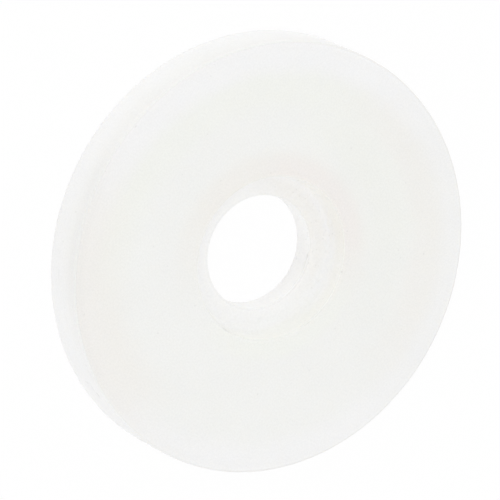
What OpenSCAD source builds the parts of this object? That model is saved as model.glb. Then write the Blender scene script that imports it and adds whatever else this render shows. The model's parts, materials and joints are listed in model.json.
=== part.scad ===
// Handle washer: a flat disc of milky white nylon with a stepped hole through its middle.
// It lies on its flat back face, with the wide counterbore of the hole facing up.

/* [Disc] */
// Outside diameter of the disc, mm
disc_d = 25.4; // [22:0.1:34]
// Thickness between the flat back and front faces, mm
disc_t = 2.9; // [2.6:0.1:5]
// Radius that rounds the outer edge of both faces, mm
rim_round = 0.1; // [0.05:0.05:0.6]

/* [Bore] */
// Diameter of the straight hole that the handle's screw passes through, mm
bore_d = 6.65; // [4:0.05:7]
// Width of the chamfer that breaks the edge at each end of the bore, mm
bore_chamfer = 0.04; // [0.02:0.02:0.16]

/* [Counterbore] */
// Diameter of the counterbore that opens in the front face, mm
counterbore_d = 9.6; // [9.2:0.1:14]
// Depth of the counterbore's flat floor below the front face, mm
counterbore_depth = 1.5; // [1.2:0.1:2]
// Radius in the corner between the counterbore's wall and its floor, mm
foot_round = 0.4; // [0.2:0.05:0.8]
// Width of the chamfer that breaks the counterbore's edge in the front face, mm
lip_chamfer = 0.06; // [0.02:0.02:0.2]

/* [Hidden] */
$fn = 96;
nylon = [0.95, 0.95, 0.93];

disc_r = disc_d / 2;
bore_r = bore_d / 2;
counterbore_r = counterbore_d / 2;
floor_z = disc_t - counterbore_depth;

// Half of the disc's cross-section: x runs outward from the axis, y up from the back face
module disc_section() {
    square([disc_r - rim_round, disc_t]);
    translate([0, rim_round])
        square([disc_r, disc_t - 2 * rim_round]);
    for (y = [rim_round, disc_t - rim_round])
        translate([disc_r - rim_round, y])
            circle(r = rim_round);
}

// Section of the bore, from the back face up to the counterbore's floor
module bore_section() {
    polygon([
        [0, 0],
        [bore_r + bore_chamfer, 0],
        [bore_r, bore_chamfer],
        [bore_r, floor_z - bore_chamfer],
        [bore_r + bore_chamfer, floor_z],
        [0, floor_z]
    ]);
}

// Section of the counterbore, with a rounded foot and a broken edge in the front face
module counterbore_section() {
    polygon([
        [0, floor_z],
        [counterbore_r - foot_round, floor_z],
        [counterbore_r, floor_z + foot_round],
        [counterbore_r, disc_t - lip_chamfer],
        [counterbore_r + lip_chamfer, disc_t],
        [0, disc_t]
    ]);
    translate([counterbore_r - foot_round, floor_z + foot_round])
        circle(r = foot_round);
}

module washer() {
    color(nylon)
        rotate_extrude()
            difference() {
                disc_section();
                bore_section();
                counterbore_section();
            }
}

washer();
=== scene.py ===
"""A handle washer of milky white nylon, lying on its back face on a white studio floor."""

import json
import math
from typing import NamedTuple

import bpy
from mathutils import Matrix, Vector, noise


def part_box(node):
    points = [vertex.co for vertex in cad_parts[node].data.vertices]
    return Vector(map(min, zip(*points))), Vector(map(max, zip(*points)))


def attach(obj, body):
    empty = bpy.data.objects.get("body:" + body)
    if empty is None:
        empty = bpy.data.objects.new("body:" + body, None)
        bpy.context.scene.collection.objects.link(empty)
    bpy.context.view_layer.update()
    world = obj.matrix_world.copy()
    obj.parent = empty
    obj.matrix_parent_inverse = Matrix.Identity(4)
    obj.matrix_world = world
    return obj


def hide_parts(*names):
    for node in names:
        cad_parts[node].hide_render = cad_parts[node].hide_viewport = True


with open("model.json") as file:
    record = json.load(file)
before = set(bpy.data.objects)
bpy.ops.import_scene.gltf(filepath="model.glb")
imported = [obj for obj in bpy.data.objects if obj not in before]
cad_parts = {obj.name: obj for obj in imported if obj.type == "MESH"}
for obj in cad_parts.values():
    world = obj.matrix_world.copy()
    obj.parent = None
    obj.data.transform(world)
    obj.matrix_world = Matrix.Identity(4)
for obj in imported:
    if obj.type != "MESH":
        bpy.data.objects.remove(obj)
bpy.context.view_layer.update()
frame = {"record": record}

MM = 0.001

# Sizes of the washer in metres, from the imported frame
low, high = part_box("washer")
mounts = {m["name"]: m for m in frame["record"]["mounts"]}
DISC_R = (high.x - low.x) / 2
DISC_T = high.z - low.z
BORE_R = mounts["bore"]["dims"]["r_mm"] * MM
COUNTERBORE_R = mounts["counterbore"]["dims"]["r_mm"] * MM
FLOOR_Z = 2 * mounts["bore"]["pos_m"][2]

# Edge breaks and fillets of the washer's section
RIM_ROUND = 0.1 * MM
BORE_BREAK = 0.04 * MM
LIP_BREAK = 0.06 * MM
FOOT_ROUND = 0.4 * MM

# Fineness of the visible mesh
TURN_STEPS = 640
ARC_STEPS = 6
FACE_ROW = 0.3 * MM
BACK_ROW = 1.0 * MM
WALL_ROW = 0.12 * MM
EDGE_ROW = 0.03 * MM

# The photograph's camera: it looks down on the front face, rolled so that the disc seems to stand.
# It sees nothing nearer or further than its two clipping distances, in metres.
FRAME_PX = 500
LENS_MM = 450.0
SENSOR_MM = 36.0
CAMERA_TILT = math.radians(33.2)
CAMERA_ROLL = math.radians(116.35)
CAMERA_DISTANCE = 356.3 * MM
FACE_CENTRE_PX = (271.5, 258.3)
CLIP_START, CLIP_END = 0.01, 20

# Unevenness of the moulded surface: how far it dips in millimetres, and its waves to a millimetre
FACE_DIP, FACE_WAVES = 0.008, 0.7
RIM_DIP, RIM_WAVES = 0.006, 1.2

# The nylon's colours. Its own colour is a little warm where it is thick. The whiter colours of the
# counterbore's wall and floor, the bore, the band near its rim and the rim's foot are painted light,
# for light that comes through thin nylon and into the hollows, and the darker top of the rim is
# painted shade.
CORE_COLOUR = (0.9, 0.903, 0.882)
PAINTED_LIGHT_BAND_COLOUR = (0.907, 0.907, 0.9)
PAINTED_LIGHT_WALL_COLOUR = (0.94, 0.934, 0.9)
PAINTED_LIGHT_FLOOR_COLOUR = (0.972, 0.972, 0.965)
PAINTED_LIGHT_BORE_COLOUR = (0.98, 0.978, 0.974)
PAINTED_SHADE_RIM_TOP_COLOUR = (0.905, 0.902, 0.885)
PAINTED_LIGHT_RIM_FOOT_COLOUR = (0.94, 0.94, 0.93)
WARM_COLOUR = (0.885, 0.861, 0.82)
PINK_COLOUR = (0.89, 0.85, 0.835)
GREEN_COLOUR = (0.9, 0.912, 0.864)
SHADE_COLOUR = (0.88, 0.885, 0.85)
PALE_COLOUR = (0.93, 0.93, 0.93)
WHITE_COLOUR = (0.985, 0.988, 0.99)

# Where one colour or gloss gives way to the next: at radii in millimetres, or at heights where the
# name says so
CORE_TO_PAINTED_LIGHT_BAND = (10.2, 12.4)
MOUTH_TO_BORE = (3.4, 3.33)
FACE_TO_MOUTH = (4.88, 4.82)
FACE_TO_RIM = (12.55, 12.65)
WALL_TO_FLOOR_HEIGHT = (2.4, 1.5)
RIM_TOP_TO_FOOT_HEIGHT = (2.6, 0.4)
MOUTH_TO_FACE_GLOSS = (4.8, 4.95)
RIM_TO_FACE_GLOSS = (12.68, 12.6)

# How light passes into the nylon, and how the nylon shines. Its roughness runs from the hollows of its
# grain to the tops.
SCATTER_MM = 0.25
SCATTER_SHARE = 0.5
SCATTER_COLOUR = (1, 0.97, 0.9)
REFRACTION = 1.53
RIM_GLOSS, FACE_GLOSS = 0.1, 0.5
HOLLOW_ROUGHNESS, TOP_ROUGHNESS = 0.42, 0.52

# How much darker the nylon is than its colour, as shares
GRAIN_DARK = 0.047
CLOUD_DARK = 0.01
SPECK_DARK = 0.075

# The fineness of its patterns to a millimetre, the depth of its grain, and the spans of noise over
# which each pattern grows from nothing to full
GRAIN_PER_MM = 9.0
BUMPS_PER_MM = 7.0
CLOUDS_PER_MM = 0.4
CLOUD_OFFSET = 7.0
PATCHES_PER_MM = 0.5
GRAIN_DEPTH_MM = 0.003
NOISE_SPAN = (0.3, 0.7)
BUMP_SPAN = (0.2, 0.8)
PATCH_SPAN = (0.35, 0.6)

# The specks: the cells to a millimetre that may hold one, a speck's half size in cells, and the shares
# of cells with one on the face and on the mouth's far side. That side begins between two radii in
# millimetres, and has a middle turn and half turn in degrees.
SPECK_CELLS_PER_MM = 3.0
SPECK_SIZE = 0.2
FACE_SPECKS, MOUTH_SPECKS = 0.02, 0.9
FACE_TO_FAR_SIDE = (5.2, 4.8)
FAR_TURN, FAR_HALF_TURN = 145, 85

# How far out each kind of soft-edged shape is at its full strength, as a share of its half size
RING_CORE = 0.3
TURN_CORE = 0.4
ZONE_CORE = 0.2
SPECK_CORE = 0.4

# Places of the Mix node's sockets for colours, which share their names with those for numbers
MIX_A, MIX_B, MIX_RESULT = 6, 7, 2

# Half turn of a ring that has no ends, in degrees
ALL_ROUND = 180.0


class Ring(NamedTuple):
    """A soft dark ring round the axis: where it cuts the section and its half width, in millimetres,
    how dark it is, and its middle turn and half turn in degrees where it doesn't run all round."""
    radius: float
    height: float
    size: float
    dark: float
    turn: float = 0.0
    half_turn: float = ALL_ROUND


# Painted shade along the counterbore's lip, broken into patches
PATCHY_LIP_SHADE = Ring(4.86, 2.9, 0.08, 0.02)

# Painted shade: dark rings at the rim's front edge, shoulder and foot, round the counterbore's lip and
# its brim, and at the bore's edge, that deepen shade and damp the highlights on the edge breaks
SHADE_RINGS = {
    "front edge of the rim": Ring(12.64, 2.88, 0.12, 0.04),
    "front edge below and at the sides": Ring(12.65, 2.87, 0.12, 0.025, 35, 150),
    "shoulder of the rim": Ring(12.6, 2.8, 0.7, 0.012),
    "shoulder on the near side": Ring(12.7, 2.6, 0.8, 0.02, 295, 40),
    "foot of the rim": Ring(12.7, 0.03, 0.22, 0.03),
    "lip of the counterbore": Ring(4.8, 2.85, 0.12, 0.045),
    "brim of the lip": Ring(5.0, 2.9, 0.3, 0.012),
    "edge of the bore": Ring(3.36, 1.39, 0.16, 0.055),
}


class Mark(NamedTuple):
    """A soft-edged mark: radius, turn in degrees and height, half sizes, how dark it is and how deep.
    Lengths are in millimetres, and a mark with no depth is only a colour."""
    radius: float
    turn: float
    height: float
    along: float
    across: float
    dark: float
    dent: float = 0.0


MARKS = {
    "round spot on the counterbore's floor": Mark(4.08, 32, 1.4, 0.32, 0.32, 0.035, 0.02),
    "pit near the counterbore's wall": Mark(4.5, 90, 1.45, 0.2, 0.2, 0.05, 0.02),
    "second pit near the wall": Mark(4.45, 113, 1.45, 0.2, 0.2, 0.05, 0.02),
    "cut across the lip": Mark(4.85, 59.5, 2.9, 0.3, 0.05, 0.11, 0.02),
    "scratch on from the cut": Mark(4.86, 72, 2.9, 0.9, 0.05, 0.04),
    "nick in the lip": Mark(4.87, 103, 2.88, 0.1, 0.12, 0.07, 0.02),
    # Painted shade round the near lip, with a small dent under its core
    "painted shade round the near lip": Mark(4.86, 353, 2.9, 1.4, 0.09, 0.04),
    "dark core of the near lip's shade": Mark(4.87, 353, 2.9, 0.4, 0.08, 0.09, 0.02),
    # A dark patch on the bore's wall under its edge, with a small dent under its core
    "dark patch under the bore's edge": Mark(3.33, 101, 1.25, 1.0, 0.3, 0.045),
    "dark core of the patch": Mark(3.34, 108, 1.34, 0.3, 0.1, 0.14, 0.02),
    "small mark in the bore": Mark(3.33, 101, 0.3, 0.12, 0.12, 0.06),
    "speck on the upper face": Mark(10.2, 114, 2.9, 0.08, 0.08, 0.16, 0.01),
    "speck on the middle of the face": Mark(7.5, 50, 2.9, 0.07, 0.1, 0.12, 0.01),
    "speck on the lower face": Mark(8.1, 325, 2.9, 0.09, 0.05, 0.12, 0.01),
    "long speck on the left of the face": Mark(12.5, 255, 2.9, 0.16, 0.06, 0.12, 0.01),
    "short speck beside it": Mark(12.55, 269, 2.88, 0.08, 0.06, 0.1, 0.01),
    "speck on the left of the face": Mark(12.2, 308, 2.9, 0.09, 0.09, 0.1, 0.01),
    "start of the nick in the rim": Mark(12.7, 329.6, 1.35, 0.15, 0.4, 0.09, 0.02),
    "middle of the nick in the rim": Mark(12.7, 331, 1.7, 0.35, 0.15, 0.1, 0.02),
    "core of the nick in the rim": Mark(12.7, 332.9, 1.88, 0.3, 0.17, 0.18, 0.05),
    "scratch along the rim": Mark(12.7, 298.5, 1.0, 0.6, 0.07, 0.09, 0.015),
    "first speck on the rim": Mark(12.7, 290, 1.15, 0.08, 0.08, 0.16, 0.01),
    "second speck on the rim": Mark(12.7, 281.5, 1.8, 0.1, 0.1, 0.13, 0.01),
    "blot on the rim": Mark(12.7, 310, 1.5, 0.35, 0.25, 0.03, 0.01),
}

DENTED = [mark for mark in MARKS.values() if mark.dent]


class Zone(NamedTuple):
    """A soft-edged stretch of a ring round the axis: its middle turn and half turn in degrees, its
    middle radius and half width in millimetres, and the colour that it brings, with its share."""
    turn: float
    half_turn: float
    radius: float
    half_width: float
    colour: tuple
    share: float


FACE_ZONES = {
    "warm round the mouth": Zone(195, 150, 5.2, 1.7, WARM_COLOUR, 0.6),
    "pink above the mouth": Zone(165, 60, 5.2, 1.2, PINK_COLOUR, 0.5),
    # Warm tint with painted shade near the rim on the left
    "warm tint and painted shade on the left": Zone(305, 50, 11.4, 2.8, WARM_COLOUR, 0.6),
    "warm right of the middle": Zone(130, 70, 10.3, 1.8, WARM_COLOUR, 0.4),
    "green across the upper left": Zone(235, 80, 10.0, 1.8, GREEN_COLOUR, 0.6),
    "green across the right": Zone(155, 50, 8.0, 2.0, GREEN_COLOUR, 0.5),
    "green below the mouth": Zone(40, 70, 5.4, 1.0, GREEN_COLOUR, 0.6),
    "shade right of the mouth": Zone(130, 65, 7.6, 2.2, SHADE_COLOUR, 0.5),
    # Painted light: a lighter band inside the rim, above and below
    "painted light above": Zone(215, 75, 12.1, 1.8, PALE_COLOUR, 0.8),
    "painted light below": Zone(35, 45, 12.1, 1.8, PALE_COLOUR, 0.5),
}

# Painted light on the near side of the floor, and painted shade on the wall below and above, where the
# wall above also takes a warm tint
MOUTH_ZONES = {
    "warm on the far side of the floor": Zone(140, 90, 3.8, 0.9, WARM_COLOUR, 0.42),
    "painted light on the near side of the floor": Zone(330, 115, 4.0, 0.9, WHITE_COLOUR, 0.9),
    "shade on the wall below": Zone(20, 75, 4.85, 0.35, SHADE_COLOUR, 0.7),
    "warm tint and painted shade on the wall above": Zone(165, 60, 4.8, 0.3, WARM_COLOUR, 0.5),
}

BORE_ZONES = {
    "shade at the top of the bore": Zone(185, 35, 3.33, 0.1, PALE_COLOUR, 0.7),
    "warm on the right of the bore": Zone(100, 30, 3.33, 0.1, WARM_COLOUR, 0.18),
}

# Painted light down the left of the rim
RIM_ZONES = {
    "painted light down the left": Zone(340, 45, 12.7, 0.4, WHITE_COLOUR, 0.4),
}


class Lamp(NamedTuple):
    """A square lamp's direction from the washer in degrees, its distance and width in metres, and its
    power in watts."""
    azimuth: float
    elevation: float
    distance: float
    width: float
    watts: float


# The studio: an even white surround with three weak lamps, whose light bounces on inside the hole
SURROUND_LIGHT = 0.88
LAMPS = {
    "front": Lamp(-90, 63, 0.6, 0.3, 0.225),
    "key": Lamp(205, 15, 0.5, 0.35, 0.325),
    "fill": Lamp(-5, 20, 0.5, 0.5, 0.27),
}
LIGHT_BOUNCES = 24

# The floor: a wide sheet of white paper, a hair below the washer
PAPER_COLOUR = (0.97, 0.97, 0.97)
PAPER_GLOW = 0.95
PAPER_GAP = 0.02 * MM
PAPER_HALF_WIDTH = 3.0


def camera():
    """Looks at the front face along the fitted direction, with the face's centre at its pixel."""
    cam = bpy.data.objects.new("camera", bpy.data.cameras.new("camera"))
    bpy.context.collection.objects.link(cam)
    cam.data.lens = LENS_MM
    cam.data.sensor_width = SENSOR_MM
    cam.data.clip_start = CLIP_START
    cam.data.clip_end = CLIP_END
    turn = Matrix.Rotation(CAMERA_TILT, 3, "X") @ Matrix.Rotation(CAMERA_ROLL, 3, "Z")
    m_per_px = CAMERA_DISTANCE * SENSOR_MM / LENS_MM / FRAME_PX
    right_px = FACE_CENTRE_PX[0] - FRAME_PX / 2
    down_px = FACE_CENTRE_PX[1] - FRAME_PX / 2
    to_centre = Vector((right_px * m_per_px, -down_px * m_per_px, -CAMERA_DISTANCE))
    place = Vector((0, 0, DISC_T)) - turn @ to_centre
    cam.matrix_world = Matrix.Translation(place) @ turn.to_4x4()
    bpy.context.scene.camera = cam


def straight(start, end, row):
    """Points from start up to, but not at, end, with one close to each end to keep edges crisp."""
    start, end = Vector(start), Vector(end)
    length = (end - start).length
    inner = max(1, round((length - 2 * EDGE_ROW) / row))
    along = [0.0]
    if length > 3 * EDGE_ROW:
        along += [EDGE_ROW + (length - 2 * EDGE_ROW) * i / inner for i in range(inner + 1)]
    return [start.lerp(end, a / length) for a in along]


def arc(centre, radius, first, last):
    """Points round a quarter turn, in degrees, without the last one."""
    x, y = centre
    angles = [math.radians(first + (last - first) * i / ARC_STEPS) for i in range(ARC_STEPS)]
    return [Vector((x + radius * math.cos(a), y + radius * math.sin(a))) for a in angles]


def section():
    """The washer's section as a loop of (radius, height), up the bore and back under the disc."""
    top = DISC_T
    wall = COUNTERBORE_R
    bore_edge = BORE_R + BORE_BREAK
    lip_edge = wall + LIP_BREAK
    foot = wall - FOOT_ROUND
    rim = DISC_R - RIM_ROUND
    return (
        arc((bore_edge, BORE_BREAK), BORE_BREAK, 270, 180)
        + straight((BORE_R, BORE_BREAK), (BORE_R, FLOOR_Z - BORE_BREAK), WALL_ROW)
        + arc((bore_edge, FLOOR_Z - BORE_BREAK), BORE_BREAK, 180, 90)
        + straight((bore_edge, FLOOR_Z), (foot, FLOOR_Z), WALL_ROW)
        + arc((foot, FLOOR_Z + FOOT_ROUND), FOOT_ROUND, -90, 0)
        + straight((wall, FLOOR_Z + FOOT_ROUND), (wall, top - LIP_BREAK), WALL_ROW)
        + arc((lip_edge, top - LIP_BREAK), LIP_BREAK, 180, 90)
        + straight((lip_edge, top), (rim, top), FACE_ROW)
        + arc((rim, top - RIM_ROUND), RIM_ROUND, 90, 0)
        + straight((DISC_R, top - RIM_ROUND), (DISC_R, RIM_ROUND), WALL_ROW)
        + arc((rim, RIM_ROUND), RIM_ROUND, 0, -90)
        + straight((rim, 0), (bore_edge, 0), BACK_ROW)
    )


def outward(rows):
    """The direction out of the solid at each point of the section, which runs clockwise."""
    ways = []
    for i, row in enumerate(rows):
        along = rows[(i + 1) % len(rows)] - rows[i - 1]
        ways.append(Vector((-along.y, along.x)).normalized())
    return ways


def waves(point, per_mm):
    """Smooth unevenness from 0 to about 1."""
    return 0.5 + 0.5 * noise.noise(point / MM * per_mm)


def from_mark(mark, radius, turn, height):
    """How far a point is from a mark's centre, as a multiple of its half sizes."""
    along = math.radians((turn - mark.turn + 180) % 360 - 180) * mark.radius / mark.along
    across = math.hypot(radius - mark.radius, height - mark.height) / mark.across
    return math.hypot(along, across)


def dents(radius, turn, height):
    """How deep the marks go at a point, in millimetres."""
    deep = 0.0
    for mark in DENTED:
        away = from_mark(mark, radius, turn, height)
        if away < 1:
            deep += mark.dent * (1 - away * away) ** 2
    return deep


def dipped(row, way, turn):
    """The radius and height of a section's point at a turn in radians, a little below true form."""
    point = Vector((row.x * math.cos(turn), row.x * math.sin(turn), row.y))
    on_rim = row.x > DISC_R - RIM_ROUND
    dip = RIM_DIP * waves(point, RIM_WAVES) if on_rim else FACE_DIP * waves(point, FACE_WAVES)
    dip += dents(row.x / MM, math.degrees(turn), row.y / MM)
    return row - way * dip * MM


def washer_mesh():
    """The section turned about the bore's axis."""
    rows = section()
    ways = outward(rows)
    n = len(rows)
    verts = []
    faces = []
    for step in range(TURN_STEPS):
        a = math.tau * step / TURN_STEPS
        here, after = step * n, (step + 1) % TURN_STEPS * n
        for i, (row, way) in enumerate(zip(rows, ways)):
            radius, height = dipped(row, way, a)
            verts.append((radius * math.cos(a), radius * math.sin(a), height))
            j = (i + 1) % n
            faces.append((here + i, here + j, after + j, after + i))
    mesh = bpy.data.meshes.new("moulded_washer")
    mesh.from_pydata(verts, [], faces)
    mesh.shade_smooth()
    return mesh


class Shading:
    """Short forms of the shader nodes that the nylon is built from. Lengths are in millimetres."""

    def __init__(self, mat):
        self.nodes, self.links = mat.node_tree.nodes, mat.node_tree.links
        place = self.nodes.new("ShaderNodeTexCoord").outputs["Object"]
        self.place = self.vector("SCALE", place, Scale=1 / MM)
        x, y, self.height = self.split(self.place)
        self.flat = self.join(x, y)
        self.radius = self.vector("LENGTH", self.flat)

    def feed(self, socket, value):
        """Links an output to a socket, or sets the socket to a plain value."""
        if isinstance(value, bpy.types.NodeSocket):
            self.links.new(value, socket)
        else:
            socket.default_value = value

    def vector(self, operation, *values, **named):
        """Vector Math on inputs by place, and by name."""
        node = self.nodes.new("ShaderNodeVectorMath")
        node.operation = operation
        for i, value in enumerate(values):
            self.feed(node.inputs[i], value)
        for name, value in named.items():
            self.feed(node.inputs[name], value)
        return node.outputs["Value" if operation in ("LENGTH", "DOT_PRODUCT") else "Vector"]

    def calc(self, operation, *values):
        """Math on plain numbers."""
        node = self.nodes.new("ShaderNodeMath")
        node.operation = operation
        for i, value in enumerate(values):
            self.feed(node.inputs[i], value)
        return node.outputs[0]

    def split(self, vector):
        """The X, Y and Z of a vector."""
        node = self.nodes.new("ShaderNodeSeparateXYZ")
        self.feed(node.inputs["Vector"], vector)
        return node.outputs

    def join(self, x, y):
        """A vector of X and Y, with no Z."""
        node = self.nodes.new("ShaderNodeCombineXYZ")
        self.feed(node.inputs["X"], x)
        self.feed(node.inputs["Y"], y)
        return node.outputs["Vector"]

    def ramp(self, value, at_0, at_1, low=0.0, high=1.0):
        """A smooth step from low, where value is at_0, to high, where it is at_1."""
        node = self.nodes.new("ShaderNodeMapRange")
        node.interpolation_type = "SMOOTHSTEP"
        for socket, number in zip(node.inputs, (value, at_0, at_1, low, high)):
            self.feed(socket, number)
        return node.outputs["Result"]

    def noise(self, per_mm, detail=2.0, offset=0.0):
        """Cloudy noise through the solid, by its waves to a millimetre."""
        node = self.nodes.new("ShaderNodeTexNoise")
        node.noise_dimensions = "4D"
        self.feed(node.inputs["Vector"], self.place)
        self.feed(node.inputs["W"], offset)
        self.feed(node.inputs["Scale"], per_mm)
        self.feed(node.inputs["Detail"], detail)
        return node.outputs["Fac"]

    def mix(self, share, a, b):
        """The colour a with a share of the colour b in its place."""
        node = self.nodes.new("ShaderNodeMix")
        node.data_type = "RGBA"
        self.feed(node.inputs["Factor"], share)
        for index, colour in ((MIX_A, a), (MIX_B, b)):
            self.feed(node.inputs[index], (*colour, 1) if isinstance(colour, tuple) else colour)
        return node.outputs[MIX_RESULT]

    def ring(self, ring):
        """1 in the middle of a ring, and 0 beyond its half width."""
        here = self.join(self.radius, self.height)
        away = self.vector("SUBTRACT", here, (ring.radius, ring.height, 0))
        inside = self.ramp(self.vector("LENGTH", away), ring.size, RING_CORE * ring.size)
        if ring.half_turn == ALL_ROUND:
            return inside
        return self.calc("MULTIPLY", inside, self.turned(ring.turn, ring.half_turn))

    def spot(self, mark):
        """1 in the middle of a mark, and 0 beyond its half sizes."""
        a = math.radians(mark.turn)
        node = self.nodes.new("ShaderNodeMapping")
        node.vector_type = "TEXTURE"
        self.feed(node.inputs["Vector"], self.place)
        centre = (mark.radius * math.cos(a), mark.radius * math.sin(a), mark.height)
        self.feed(node.inputs["Location"], centre)
        self.feed(node.inputs["Rotation"], (0, 0, a))
        self.feed(node.inputs["Scale"], (mark.across, mark.along, mark.across))
        return self.ramp(self.vector("LENGTH", node.outputs["Vector"]), 1.0, 0.0)

    def turned(self, turn, half_turn):
        """1 at a turn round the axis, and 0 beyond a half turn from it, in degrees."""
        a, half = math.radians(turn), math.radians(half_turn)
        from_axis = self.vector("NORMALIZE", self.flat)
        facing = self.vector("DOT_PRODUCT", from_axis, (math.cos(a), math.sin(a), 0))
        return self.ramp(facing, math.cos(half), math.cos(TURN_CORE * half))

    def stretch(self, zone):
        """1 in the middle of a zone, and 0 beyond its half turn and half width."""
        away = self.calc("ABSOLUTE", self.calc("SUBTRACT", self.radius, zone.radius))
        across = self.ramp(away, zone.half_width, ZONE_CORE * zone.half_width)
        return self.calc("MULTIPLY", across, self.turned(zone.turn, zone.half_turn))

    def dots(self, per_mm, size, share):
        """Dots strewn through the nylon, by the cells to a millimetre, a dot's half size in cells and
        the share of cells that hold one."""
        node = self.nodes.new("ShaderNodeTexVoronoi")
        self.feed(node.inputs["Vector"], self.place)
        self.feed(node.inputs["Scale"], per_mm)
        chance = self.split(node.outputs["Color"])["X"]
        chosen = self.calc("LESS_THAN", chance, share)
        dot = self.ramp(node.outputs["Distance"], size, SPECK_CORE * size)
        return self.calc("MULTIPLY", dot, chosen)

    def total(self, *parts):
        """The sum of pairs of a strength and a mask."""
        whole = 0.0
        for strength, mask in parts:
            whole = self.calc("ADD", whole, self.calc("MULTIPLY", mask, strength))
        return whole


def tint(sh, colour, zones):
    """The colour with those of some zones brought in one after another."""
    for zone in zones.values():
        colour = sh.mix(sh.calc("MULTIPLY", sh.stretch(zone), zone.share), colour, zone.colour)
    return colour


def colour_with_painted_light(sh):
    """The nylon's colour on the face, down the rim, and in the counterbore and bore, with the painted
    light and shade of its colours and zones.
    """
    face = sh.mix(sh.ramp(sh.radius, *CORE_TO_PAINTED_LIGHT_BAND), CORE_COLOUR, PAINTED_LIGHT_BAND_COLOUR)
    mouth = sh.mix(sh.ramp(sh.height, *WALL_TO_FLOOR_HEIGHT), PAINTED_LIGHT_WALL_COLOUR, PAINTED_LIGHT_FLOOR_COLOUR)
    rim = sh.mix(sh.ramp(sh.height, *RIM_TOP_TO_FOOT_HEIGHT), PAINTED_SHADE_RIM_TOP_COLOUR, PAINTED_LIGHT_RIM_FOOT_COLOUR)
    face = tint(sh, face, FACE_ZONES)
    mouth = tint(sh, mouth, MOUTH_ZONES)
    bore = tint(sh, PAINTED_LIGHT_BORE_COLOUR, BORE_ZONES)
    rim = tint(sh, rim, RIM_ZONES)
    mouth = sh.mix(sh.ramp(sh.radius, *MOUTH_TO_BORE), mouth, bore)
    colour = sh.mix(sh.ramp(sh.radius, *FACE_TO_MOUTH), face, mouth)
    return sh.mix(sh.ramp(sh.radius, *FACE_TO_RIM), colour, rim)


def specks(sh):
    """The few specks on the face, and the many on the mouth's far side."""
    in_mouth = sh.ramp(sh.radius, *FACE_TO_FAR_SIDE)
    far_side = sh.calc("MULTIPLY", in_mouth, sh.turned(FAR_TURN, FAR_HALF_TURN))
    share = sh.ramp(far_side, 0, 1, FACE_SPECKS, MOUTH_SPECKS)
    return sh.dots(SPECK_CELLS_PER_MM, SPECK_SIZE, share)


def darkness(sh):
    """How much darker the nylon is than its colour: painted shade at its edges and lip, its marks, one
    of them painted shade round the near lip, and its specks, grain and clouds.
    """
    patches = sh.ramp(sh.noise(PATCHES_PER_MM), *PATCH_SPAN)
    clouds = sh.noise(CLOUDS_PER_MM, detail=3.0, offset=CLOUD_OFFSET)
    parts = [
        (PATCHY_LIP_SHADE.dark, sh.calc("MULTIPLY", sh.ring(PATCHY_LIP_SHADE), patches)),
        (SPECK_DARK, specks(sh)),
        (GRAIN_DARK, sh.ramp(sh.noise(GRAIN_PER_MM, detail=3.0), *NOISE_SPAN)),
        (CLOUD_DARK, sh.ramp(clouds, *NOISE_SPAN)),
    ]
    parts += [(ring.dark, sh.ring(ring)) for ring in SHADE_RINGS.values()]
    parts += [(mark.dark, sh.spot(mark)) for mark in MARKS.values()]
    return sh.total(*parts)


def grained(sh, grain):
    """The surface's direction, tilted by its grain."""
    bump = sh.nodes.new("ShaderNodeBump")
    sh.feed(bump.inputs["Height"], grain)
    bump.inputs["Strength"].default_value = 1.0
    bump.inputs["Distance"].default_value = GRAIN_DEPTH_MM * MM
    return bump.outputs["Normal"]


def gloss(sh):
    """The strength of reflections: full on the faces, faint on the rim and none in the mouth."""
    outside = sh.ramp(sh.radius, *RIM_TO_FACE_GLOSS, RIM_GLOSS, FACE_GLOSS)
    return sh.calc("MULTIPLY", sh.ramp(sh.radius, *MOUTH_TO_FACE_GLOSS), outside)


def nylon():
    """Milky nylon that light passes into, cloudy and finely grained, with a few specks and marks, and
    with painted light and shade in its colour.
    """
    mat = bpy.data.materials.new("nylon")
    mat.use_nodes = True
    sh = Shading(mat)
    mean_of_grain = 0.5 * GRAIN_DARK
    lightness = sh.calc("SUBTRACT", 1.0 + mean_of_grain, darkness(sh))
    grain = sh.noise(BUMPS_PER_MM, detail=4.0)
    roughness = sh.ramp(grain, *BUMP_SPAN, HOLLOW_ROUGHNESS, TOP_ROUGHNESS)
    shader = mat.node_tree.nodes["Principled BSDF"]
    sh.feed(shader.inputs["Base Color"], sh.vector("SCALE", colour_with_painted_light(sh), Scale=lightness))
    sh.feed(shader.inputs["Roughness"], roughness)
    sh.feed(shader.inputs["Normal"], grained(sh, grain))
    sh.feed(shader.inputs["Specular IOR Level"], gloss(sh))
    shader.inputs["IOR"].default_value = REFRACTION
    shader.inputs["Subsurface Weight"].default_value = SCATTER_SHARE
    shader.inputs["Subsurface Radius"].default_value = SCATTER_COLOUR
    shader.inputs["Subsurface Scale"].default_value = SCATTER_MM * MM
    return mat


def seen_or_mirrored(nodes, links):
    """1 for what the camera, a reflection or a refraction sees, and 0 for light on the washer."""
    path = nodes.new("ShaderNodeLightPath")
    both = nodes.new("ShaderNodeMath")
    both.operation = "MAXIMUM"
    links.new(path.outputs["Is Camera Ray"], both.inputs[0])
    links.new(path.outputs["Is Glossy Ray"], both.inputs[1])
    every = nodes.new("ShaderNodeMath")
    every.operation = "MAXIMUM"
    links.new(both.outputs[0], every.inputs[0])
    links.new(path.outputs["Is Transmission Ray"], every.inputs[1])
    return every.outputs[0]


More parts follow.
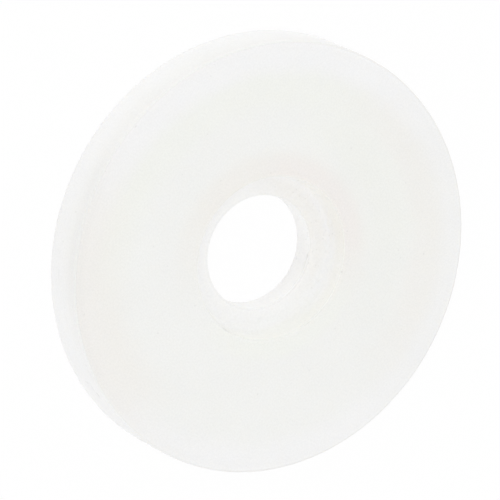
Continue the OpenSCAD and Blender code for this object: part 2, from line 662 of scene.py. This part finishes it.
def paper():
    """White paper that looks almost as bright as the surround, and keeps a faint shadow."""
    mat = bpy.data.materials.new("paper")
    mat.use_nodes = True
    nodes, links = mat.node_tree.nodes, mat.node_tree.links
    nodes.clear()
    out = nodes.new("ShaderNodeOutputMaterial")
    mix = nodes.new("ShaderNodeMixShader")
    diffuse = nodes.new("ShaderNodeBsdfDiffuse")
    diffuse.inputs["Color"].default_value = (*PAPER_COLOUR, 1)
    glow = nodes.new("ShaderNodeEmission")
    share = nodes.new("ShaderNodeMath")
    share.operation = "MULTIPLY"
    share.inputs[1].default_value = PAPER_GLOW
    links.new(seen_or_mirrored(nodes, links), share.inputs[0])
    links.new(share.outputs[0], mix.inputs["Fac"])
    links.new(diffuse.outputs[0], mix.inputs[1])
    links.new(glow.outputs[0], mix.inputs[2])
    links.new(mix.outputs[0], out.inputs["Surface"])
    return mat


def studio_floor():
    """The flat sheet of paper that the washer lies on."""
    half = PAPER_HALF_WIDTH
    mesh = bpy.data.meshes.new("floor")
    corners = [(-half, -half), (half, -half), (half, half), (-half, half)]
    mesh.from_pydata([(x, y, low.z - PAPER_GAP) for x, y in corners], [], [(0, 1, 2, 3)])
    mesh.materials.append(paper())
    floor = bpy.data.objects.new("floor", mesh)
    bpy.context.collection.objects.link(floor)


def surround():
    """The even light of a studio tent, which the camera sees as plain white."""
    world = bpy.data.worlds.new("surround")
    bpy.context.scene.world = world
    world.use_nodes = True
    nodes, links = world.node_tree.nodes, world.node_tree.links
    back = nodes["Background"]
    back.inputs["Color"].default_value = (1, 1, 1, 1)
    level = nodes.new("ShaderNodeMapRange")
    level.inputs["To Min"].default_value = SURROUND_LIGHT
    level.inputs["To Max"].default_value = 1
    links.new(seen_or_mirrored(nodes, links), level.inputs["Value"])
    links.new(level.outputs["Result"], back.inputs["Strength"])


def softbox(name, lamp):
    """Sets up a square lamp that faces the washer from a direction round it."""
    data = bpy.data.lights.new(name, "AREA")
    data.shape = "SQUARE"
    data.size = lamp.width
    data.energy = lamp.watts
    box = bpy.data.objects.new(name, data)
    bpy.context.collection.objects.link(box)
    azimuth, elevation = math.radians(lamp.azimuth), math.radians(lamp.elevation)
    level = math.cos(elevation)
    away = Vector((math.cos(azimuth) * level, math.sin(azimuth) * level, math.sin(elevation)))
    box.location = away * lamp.distance
    box.rotation_euler = away.to_track_quat("Z", "Y").to_euler()


camera()
washer = bpy.data.objects.new("moulded_washer", washer_mesh())
bpy.context.collection.objects.link(washer)
washer.data.materials.append(nylon())
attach(washer, "root")
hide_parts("washer")

studio_floor()
surround()
for name, lamp in LAMPS.items():
    softbox(name, lamp)

bpy.context.scene.cycles.max_bounces = LIGHT_BOUNCES
bpy.context.scene.cycles.diffuse_bounces = LIGHT_BOUNCES
bpy.context.scene.view_settings.view_transform = "Standard"
